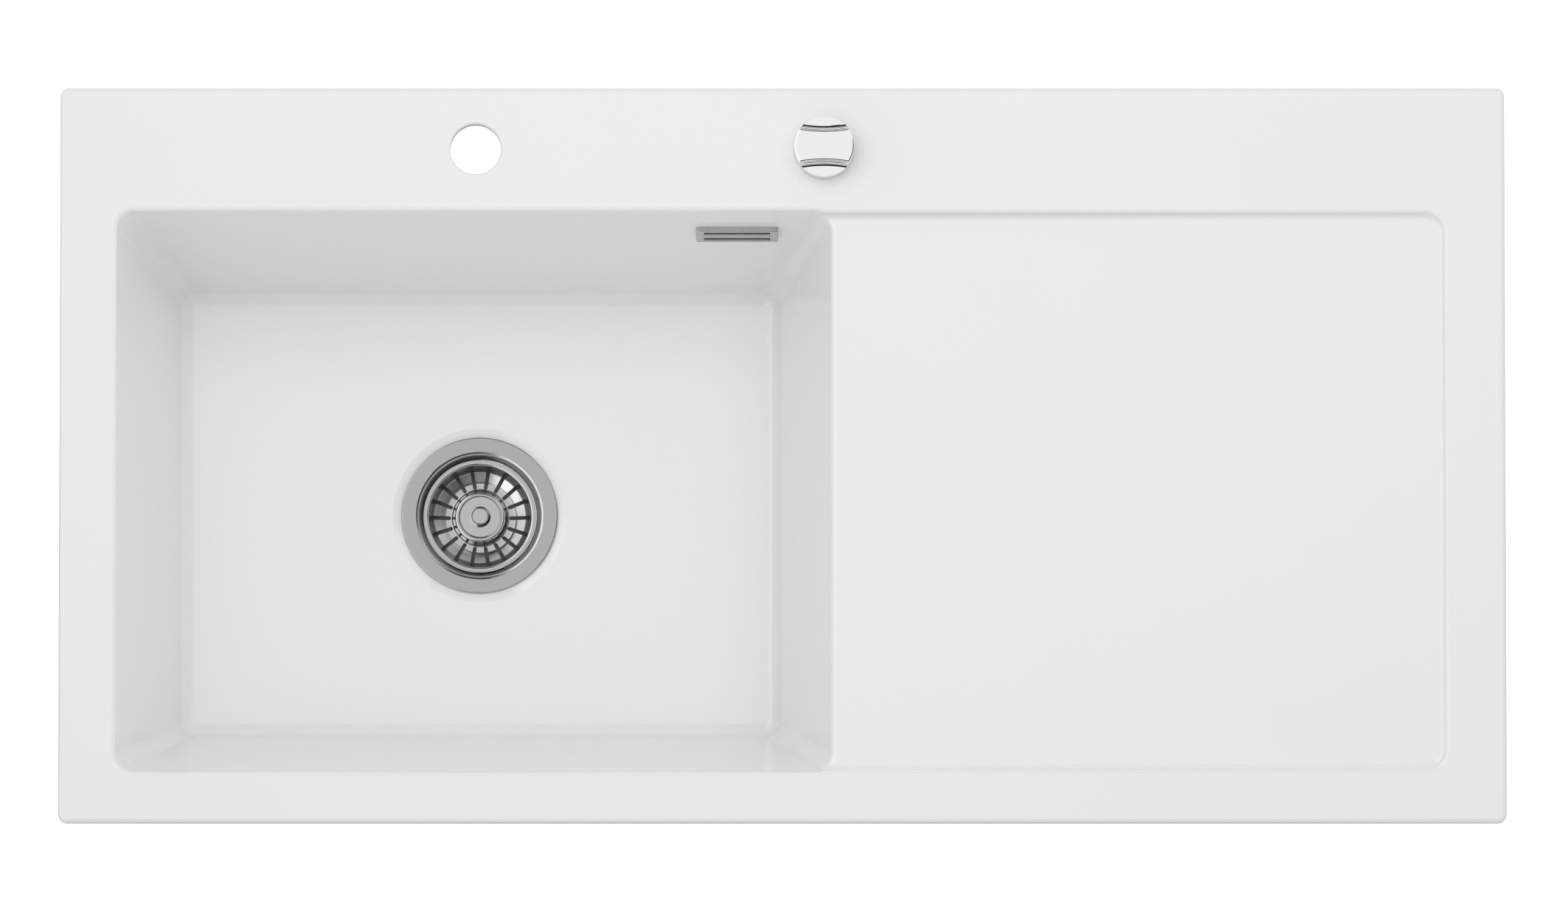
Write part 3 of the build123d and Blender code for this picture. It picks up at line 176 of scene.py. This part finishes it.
# Ceramic body: cast in fireclay in one piece with its bowl, drainer and tap ledge, and fired white.
# The glaze covers all that shows from above and ends in a wiped edge just over the worktop; below
# that the clay is bare.
GLAZE, GLAZE_THIN = (0.915, 0.917, 0.913, 1), (0.9, 0.903, 0.899, 1)
CLAY, CLAY_DARK = (0.77, 0.73, 0.67, 1), (0.66, 0.62, 0.56, 1)
GLAZE_IOR = 1.52
GLAZE_ROUGHNESS, CLAY_ROUGHNESS = (0.05, 0.13), (0.72, 0.95)
WIPED_EDGE = (0.0008, 0.0022)
FACING_UP = 0.05
WANDER, CLOUD, SPONGED = (45.0, 3.0), (14.0, 2.0), (120.0, 5.0)
RIPPLE, GRIT = (40.0, 1.0), (1100.0, 4.0)
RIPPLE_RELIEF, GRIT_RELIEF = (0.006, 0.0008), (0.35, 0.0004)
MIX_SOCKETS = {"FLOAT": (2, 3, 0), "VECTOR": (4, 5, 1), "RGBA": (6, 7, 2)}


def new_finish(name, even):
    """A material whose even values stand on its shader."""
    material = bpy.data.materials.new(name)
    material.use_nodes = True
    shader = material.node_tree.nodes["Principled BSDF"]
    for socket, value in even.items():
        shader.inputs[socket].default_value = value
    return material, material.node_tree, shader


def wire(tree, shader, colour, roughness, normal=None):
    """Links a finish's colour, its roughness and the normal of its relief to its shader."""
    tree.links.new(colour, shader.inputs["Base Color"])
    tree.links.new(roughness, shader.inputs["Roughness"])
    if normal is not None:
        tree.links.new(normal, shader.inputs["Normal"])


def dress(material, *names):
    """Gives a material to pieces of the sink."""
    for name in names:
        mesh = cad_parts[name].data
        mesh.materials.clear()
        mesh.materials.append(material)


def blend(tree, share, one, other, kind="RGBA"):
    """A colour, normal or value between two, by a share that changes over the surface."""
    first, second, result = MIX_SOCKETS[kind]
    made = shader_node(tree, "Mix", {0: share, first: one, second: other}, data_type=kind)
    return made.outputs[result]


def noise(tree, place, fineness, detail):
    """A soft random pattern over the surface, from 0 to 1."""
    made = shader_node(tree, "TexNoise", {"Vector": place, "Scale": fineness, "Detail": detail})
    return made.outputs[0]


def relief(tree, height, strength, depth):
    """A normal that leans with the slope of a pattern."""
    made = shader_node(tree, "Bump", {"Height": height, "Strength": strength, "Distance": depth})
    return made.outputs[0]


fireclay, tree, shader = new_finish("glazed_fireclay", {"IOR": GLAZE_IOR})
coords = shader_node(tree, "TexCoord", {}).outputs
place = coords["Object"]
height = shader_node(tree, "SeparateXYZ", {0: place}).outputs["Z"]
facing = shader_node(tree, "SeparateXYZ", {0: coords["Normal"]}).outputs["Z"]
wiped = between(tree, noise(tree, place, *WANDER), *WIPED_EDGE)
above = reckon(tree, "GREATER_THAN", height, wiped)
upward = reckon(tree, "GREATER_THAN", facing, FACING_UP)
glazed = reckon(tree, "MAXIMUM", above, upward)
cloud = noise(tree, place, *CLOUD)
sponged = noise(tree, place, *SPONGED)
glaze_colour = blend(tree, cloud, GLAZE, GLAZE_THIN)
clay_colour = blend(tree, sponged, CLAY_DARK, CLAY)
glaze_roughness = between(tree, cloud, *GLAZE_ROUGHNESS)
clay_roughness = between(tree, sponged, *CLAY_ROUGHNESS)
glaze_skin = relief(tree, noise(tree, place, *RIPPLE), *RIPPLE_RELIEF)
clay_skin = relief(tree, noise(tree, place, *GRIT), *GRIT_RELIEF)
wire(tree, shader,
     blend(tree, glazed, clay_colour, glaze_colour),
     blend(tree, glazed, clay_roughness, glaze_roughness, "FLOAT"),
     blend(tree, glazed, clay_skin, glaze_skin, "VECTOR"))
dress(fireclay, "sink_body")

# Strainer flange: pressed from stainless sheet, clamped on the floor of the bowl by the bolt in its
# cup. Its rim is turned to a satin finish in fine rings.
STEEL, STEEL_DARK = (0.46, 0.46, 0.456, 1), (0.4, 0.4, 0.397, 1)
SATIN_ROUGHNESS = (0.16, 0.26)
RING_DETAIL, RING_DEPTH = 4.0, 0.0002
FLATTEN = (1, 1, 0)
flange_low, flange_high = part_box("strainer_flange")
drain = (flange_low + flange_high) / 2


def effect(name, wants, gives):
    """An empty node group with its sockets, for an effect that several finishes share."""
    group = bpy.data.node_groups.new(name, "ShaderNodeTree")
    for way, sockets in (("INPUT", wants), ("OUTPUT", gives)):
        for socket, kind in sockets.items():
            group.interface.new_socket(socket, in_out=way, socket_type="NodeSocket" + kind)
    return group, group.nodes.new("NodeGroupInput").outputs, group.nodes.new("NodeGroupOutput").inputs


turned_rings, wants, gives = effect("turned_rings",
                                    {"Centre": "Vector", "Lines": "Float", "Depth": "Float"},
                                    {"Tone": "Float", "Normal": "Vector"})
place = shader_node(turned_rings, "TexCoord", {}).outputs["Object"]
offset = shader_node(turned_rings, "VectorMath", {0: place, 1: wants["Centre"]}, operation="SUBTRACT")
flat = shader_node(turned_rings, "VectorMath", {0: offset.outputs[0], 1: FLATTEN}, operation="MULTIPLY")
radius = shader_node(turned_rings, "VectorMath", {0: flat.outputs[0]}, operation="LENGTH")
line = shader_node(turned_rings, "TexNoise",
                   {"W": radius.outputs["Value"], "Scale": wants["Lines"], "Detail": RING_DETAIL},
                   noise_dimensions="1D").outputs[0]
turned_rings.links.new(line, gives["Tone"])
turned_rings.links.new(relief(turned_rings, line, wants["Depth"], RING_DEPTH), gives["Normal"])

satin, tree, shader = new_finish("satin_steel", {"Metallic": 1.0})
rings = shader_node(tree, "Group", {"Centre": drain, "Lines": 2500.0, "Depth": 0.05},
                    node_tree=turned_rings).outputs
wire(tree, shader,
     blend(tree, rings["Tone"], STEEL_DARK, STEEL),
     between(tree, rings["Tone"], *SATIN_ROUGHNESS),
     rings["Normal"])
dress(satin, "strainer_flange")

# Strainer basket: a stainless cup with punched slots, pressed and then polished, with the turned hub
# that lifts it and the bolt and pin below it.
POLISHED, POLISHED_DARK = (0.52, 0.52, 0.515, 1), (0.45, 0.45, 0.446, 1)
POLISHED_ROUGHNESS = (0.12, 0.26)
SMEAR_DETAIL, SMEAR_HARSHNESS = 6.0, 0.65

hand_marks, wants, gives = effect("hand_marks", {"Fineness": "Float"}, {"Tone": "Float"})
place = shader_node(hand_marks, "TexCoord", {}).outputs["Object"]
smear = shader_node(hand_marks, "TexNoise", {"Vector": place, "Scale": wants["Fineness"],
                                             "Detail": SMEAR_DETAIL, "Roughness": SMEAR_HARSHNESS})
hand_marks.links.new(smear.outputs[0], gives["Tone"])

polished, tree, shader = new_finish("polished_steel", {"Metallic": 1.0})
rings = shader_node(tree, "Group", {"Centre": drain, "Lines": 1600.0, "Depth": 0.05},
                    node_tree=turned_rings).outputs
marks = shader_node(tree, "Group", {"Fineness": 90.0}, node_tree=hand_marks).outputs["Tone"]
wire(tree, shader,
     blend(tree, rings["Tone"], POLISHED_DARK, POLISHED),
     between(tree, marks, *POLISHED_ROUGHNESS),
     rings["Normal"])
dress(polished, "strainer_basket", "basket_hub", "clamp_bolt", "lift_pin")

# Seals and gaskets: black nitrile rubber, moulded or cut from sheet, squeezed between the parts. A pale
# bloom clouds their surface.
RUBBER, RUBBER_BLOOM = (0.022, 0.022, 0.023, 1), (0.05, 0.05, 0.052, 1)
GRAIN_DETAIL, GRAIN_DEPTH = 3.0, 0.0003
MOULD_CLOUD = (40.0, 4.0)

moulded_grain, wants, gives = effect("moulded_grain", {"Fineness": "Float", "Depth": "Float"},
                                     {"Tone": "Float", "Normal": "Vector"})
place = shader_node(moulded_grain, "TexCoord", {}).outputs["Object"]
fine = noise(moulded_grain, place, wants["Fineness"], GRAIN_DETAIL)
broad = noise(moulded_grain, place, *MOULD_CLOUD)
moulded_grain.links.new(broad, gives["Tone"])
moulded_grain.links.new(relief(moulded_grain, fine, wants["Depth"], GRAIN_DEPTH), gives["Normal"])


def moulded(name, one, other, roughness, fineness, depth):
    """A moulded plastic or rubber: clouded colour, uneven gloss and a fine grain."""
    material, tree, shader = new_finish(name, {})
    grain = shader_node(tree, "Group", {"Fineness": fineness, "Depth": depth},
                        node_tree=moulded_grain).outputs
    wire(tree, shader,
         blend(tree, grain["Tone"], one, other),
         between(tree, grain["Tone"], *roughness),
         grain["Normal"])
    return material


dress(moulded("nitrile_rubber", RUBBER, RUBBER_BLOOM,
              roughness=(0.5, 0.75), fineness=1500.0, depth=0.2),
      "flange_gasket", "waste_gasket", "lever_oring", "overflow_gasket",
      "upper_pipe_seal", "lower_pipe_seal", "knob_gasket", "deck_washer")

# Basket seal: a moulded disc of softer grey silicone on the basket's stem. It closes on the cone of the
# cup, and shows dark through the basket's slots.
SILICONE, SILICONE_WORN = (0.17, 0.17, 0.172, 1), (0.23, 0.23, 0.232, 1)
dress(moulded("grey_silicone", SILICONE, SILICONE_WORN,
              roughness=(0.45, 0.6), fineness=1500.0, depth=0.15),
      "basket_seal")

# Waste body, overflow elbow and pipe: moulded and extruded in grey polypropylene, with the carrier of
# the basket's seal and the insert behind the overflow cover in the same stuff.
GREY, GREY_LIGHT = (0.44, 0.45, 0.455, 1), (0.5, 0.51, 0.515, 1)
grey_polypropylene = moulded("grey_polypropylene", GREY, GREY_LIGHT,
                             roughness=(0.34, 0.5), fineness=700.0, depth=0.12)
dress(grey_polypropylene,
      "waste_body", "overflow_elbow", "overflow_pipe", "overflow_insert", "seal_carrier")

# Waste outlet: the funnel and threaded tail that are welded into the barrel's lower end, moulded in the
# same polypropylene. A trap's union nut screws on the G 1 1/2 thread.
THREAD_PITCH = 0.002309
THREAD_TURNS = 8
THREAD_STEPS = 64
THREAD_FADE = 24
THREAD_FOOT_SHARE, THREAD_CREST_SHARE = 0.9, 0.22
THREAD_CORNERS = 4
CREST_R, ROOT_R, BORE_R = 0.0239, 0.0224, 0.02
END_CHAMFER = 0.0008
COLLAR_LOW, COLLAR_HIGH = 0.0215, 0.026
FUNNEL_TOP = 0.042
SHOULDER_WIDTH, REGISTER_WALL = 0.0031, 0.002
FUNNEL_ROUND = 0.0012
SHELL_SIDES = 128
SAME_PLACE = 1e-6
SMOOTH_ANGLE = radians(35)
outlet_low, outlet_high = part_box("outlet_funnel")
outlet = (outlet_low + outlet_high) / 2
outlet_foot = Vector((outlet.x, outlet.y, outlet_low.z))
barrel_r = (outlet_high.x - outlet_low.x) / 2
register_r = barrel_r - SHOULDER_WIDTH
register_top = outlet_high.z - outlet_low.z


def turned_shell(name, axis, rings):
    """A closed shell of revolution, drawn out ring by ring from one circle."""
    bpy.ops.object.select_all(action="DESELECT")
    radius, height = rings[0]
    bpy.ops.mesh.primitive_circle_add(vertices=SHELL_SIDES, radius=radius,
                                      location=(axis.x, axis.y, axis.z + height))
    shell = bpy.context.object
    shell.name = name
    bpy.ops.object.transform_apply(location=True, rotation=True, scale=True)
    bpy.ops.object.mode_set(mode="EDIT")
    bpy.ops.mesh.select_all(action="SELECT")
    for wider, higher in rings[1:] + rings[:1]:
        rise = (0, 0, higher - height)
        spread = (wider / radius, wider / radius, 1)
        bpy.ops.mesh.extrude_region_move(TRANSFORM_OT_translate={"value": rise})
        bpy.ops.transform.resize(value=spread, center_override=(axis.x, axis.y, axis.z + higher))
        radius, height = wider, higher
    bpy.ops.mesh.select_all(action="SELECT")
    bpy.ops.mesh.remove_doubles(threshold=SAME_PLACE)
    bpy.ops.mesh.normals_make_consistent(inside=False)
    bpy.ops.object.mode_set(mode="OBJECT")
    return shell


threaded_outlet = turned_shell("threaded_outlet", outlet_foot, [
    (BORE_R, 0),
    (ROOT_R - END_CHAMFER, 0),
    (ROOT_R, END_CHAMFER),
    (ROOT_R, COLLAR_LOW),
    (CREST_R, COLLAR_LOW + CREST_R - ROOT_R),
    (CREST_R, COLLAR_HIGH),
    (barrel_r - FUNNEL_ROUND, FUNNEL_TOP - FUNNEL_ROUND),
    (barrel_r, FUNNEL_TOP - FUNNEL_ROUND / 2),
    (barrel_r, FUNNEL_TOP),
    (register_r, FUNNEL_TOP),
    (register_r, register_top),
    (register_r - REGISTER_WALL, register_top),
    (register_r - REGISTER_WALL, FUNNEL_TOP),
    (BORE_R, COLLAR_HIGH),
])

bpy.ops.object.select_all(action="DESELECT")
bpy.ops.mesh.primitive_plane_add(size=1, location=outlet_foot + Vector((0, 0, THREAD_PITCH)))
thread = bpy.context.object
thread.name = "outlet_thread"
bpy.ops.object.mode_set(mode="EDIT")
bpy.ops.mesh.select_all(action="SELECT")
bpy.ops.transform.rotate(value=tau / 4, orient_axis="X", center_override=thread.location)
bpy.ops.transform.resize(value=(2 * (CREST_R - ROOT_R), 1, THREAD_FOOT_SHARE * THREAD_PITCH),
                         center_override=thread.location)
bpy.ops.transform.translate(value=(ROOT_R, 0, 0))
bpy.ops.mesh.delete(type="ONLY_FACE")
bpy.ops.object.mode_set(mode="OBJECT")
for corner in thread.data.vertices:
    if corner.co.x > ROOT_R:
        corner.co.z *= THREAD_CREST_SHARE
wind = thread.modifiers.new("wind", "SCREW")
wind.axis = "Z"
wind.angle = tau
wind.screw_offset = THREAD_PITCH
wind.iterations = THREAD_TURNS
wind.steps = wind.render_steps = THREAD_STEPS
bpy.ops.object.modifier_apply(modifier=wind.name)
last_step = len(thread.data.vertices) // THREAD_CORNERS - 1
for corner in thread.data.vertices:
    step = corner.index // THREAD_CORNERS
    fade = min(1.0, step / THREAD_FADE, (last_step - step) / THREAD_FADE)
    reach = hypot(corner.co.x, corner.co.y)
    if reach > ROOT_R:
        wanted = ROOT_R + (reach - ROOT_R) * fade
        corner.co.x *= wanted / reach
        corner.co.y *= wanted / reach
bpy.ops.object.transform_apply(location=True, rotation=True, scale=True)
bpy.ops.object.mode_set(mode="EDIT")
bpy.ops.mesh.select_all(action="SELECT")
bpy.ops.mesh.remove_doubles(threshold=SAME_PLACE)
bpy.ops.mesh.fill_holes(sides=THREAD_CORNERS)
bpy.ops.mesh.normals_make_consistent(inside=False)
bpy.ops.object.mode_set(mode="OBJECT")

threaded_outlet.select_set(True)
bpy.context.view_layer.objects.active = threaded_outlet
bpy.ops.object.join()
bpy.ops.object.shade_smooth_by_angle(angle=SMOOTH_ANGLE)
threaded_outlet.data.materials.append(grey_polypropylene)
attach(threaded_outlet, "sink")
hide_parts("outlet_funnel")

# Lever, crank, union nuts and the remote control's housing: moulded in black glass-filled nylon. The
# cable's sleeve is an extruded tube of the same black.
BLACK, BLACK_WORN = (0.02, 0.02, 0.021, 1), (0.042, 0.042, 0.043, 1)
dress(moulded("black_nylon", BLACK, BLACK_WORN,
              roughness=(0.36, 0.55), fineness=1100.0, depth=0.16),
      "lift_lever", "lever_bush", "crank_arm", "upper_pipe_nut", "lower_pipe_nut", "control_bush",
      "deck_nut", "control_housing", "control_cover", "cable_slider", "control_ferrule",
      "waste_ferrule", "cable_sleeve")

# Overflow cover: a small stainless frame with a tilted louvre, set into the rear wall of the bowl. It
# is brushed along its length.
COVER, COVER_DARK = (0.54, 0.535, 0.53, 1), (0.46, 0.456, 0.45, 1)
COVER_ROUGHNESS = (0.2, 0.36)
HAIR_STRETCH, HAIR = (40.0, 2500.0, 2500.0), (1.0, 3.0)
HAIR_RELIEF = (0.1, 0.0002)
brushed, tree, shader = new_finish("brushed_steel", {"Metallic": 1.0})
place = shader_node(tree, "TexCoord", {}).outputs["Object"]
along = shader_node(tree, "Mapping", {"Vector": place, "Scale": HAIR_STRETCH}).outputs[0]
hair = noise(tree, along, *HAIR)
wire(tree, shader,
     blend(tree, hair, COVER_DARK, COVER),
     between(tree, hair, *COVER_ROUGHNESS),
     relief(tree, hair, *HAIR_RELIEF))
dress(brushed, "overflow_cover")

# Small screws and the cable's end: steel with a bright zinc plating, a little cloudy. The screws hold
# the crank, the overflow, the knob and the lid of the control's housing.
ZINC, ZINC_DULL = (0.66, 0.67, 0.69, 1), (0.5, 0.51, 0.53, 1)
ZINC_ROUGHNESS = (0.22, 0.45)
zinc, tree, shader = new_finish("zinc_plating", {"Metallic": 1.0})
marks = shader_node(tree, "Group", {"Fineness": 400.0}, node_tree=hand_marks).outputs["Tone"]
wire(tree, shader, blend(tree, marks, ZINC_DULL, ZINC), between(tree, marks, *ZINC_ROUGHNESS))
dress(zinc, "crank_screw", "overflow_screws", "knob_screw", "cover_screws", "cable_nipple")

# Knob: die-cast zinc with a polished chrome plating, held on its brass spindle by a grub screw.
# Handling has dulled it a little here and there.
CHROME, CHROME_DULL = (0.86, 0.865, 0.87, 1), (0.82, 0.825, 0.83, 1)
CHROME_ROUGHNESS = (0.03, 0.1)
chrome, tree, shader = new_finish("chrome_plating", {"Metallic": 1.0})
marks = shader_node(tree, "Group", {"Fineness": 120.0}, node_tree=hand_marks).outputs["Tone"]
wire(tree, shader, blend(tree, marks, CHROME, CHROME_DULL), between(tree, marks, *CHROME_ROUGHNESS))
dress(chrome, "control_knob")

# Knob spindle: turned from brass bar and left bare. Fine turning marks run round its axis, and it has
# tarnished unevenly.
BRASS, BRASS_DULL = (0.72, 0.53, 0.25, 1), (0.56, 0.39, 0.17, 1)
BRASS_ROUGHNESS = (0.22, 0.42)
spindle_low, spindle_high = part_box("knob_spindle")
spindle = (spindle_low + spindle_high) / 2
brass, tree, shader = new_finish("bare_brass", {"Metallic": 1.0})
rings = shader_node(tree, "Group", {"Centre": spindle, "Lines": 3000.0, "Depth": 0.1},
                    node_tree=turned_rings).outputs
marks = shader_node(tree, "Group", {"Fineness": 200.0}, node_tree=hand_marks).outputs["Tone"]
wire(tree, shader,
     blend(tree, marks, BRASS_DULL, BRASS),
     between(tree, marks, *BRASS_ROUGHNESS),
     rings["Normal"])
dress(brass, "knob_spindle")

# Floor: a pale sheet under the outlet that shows white and keeps the sink's faint shadow. It belongs to
# the studio.
PAPER = (0.8, 0.8, 0.8, 1)
PAPER_ROUGHNESS = 0.9
PAPER_GLOW = 0.75
FLOOR_SIZE = 40
bpy.ops.object.select_all(action="DESELECT")
bpy.ops.mesh.primitive_plane_add(size=FLOOR_SIZE, location=(0, 0, cad_low.z))
floor = bpy.context.object
floor.name = "floor"
paper, tree, shader = new_finish("paper", {"Base Color": PAPER, "Roughness": PAPER_ROUGHNESS,
                                           "Specular IOR Level": 0.0, "Emission Color": WHITE})
floor_ray = shader_node(tree, "LightPath", {}).outputs
glow = reckon(tree, "MULTIPLY", floor_ray["Is Camera Ray"], PAPER_GLOW)
tree.links.new(glow, shader.inputs["Emission Strength"])
floor.data.materials.append(paper)
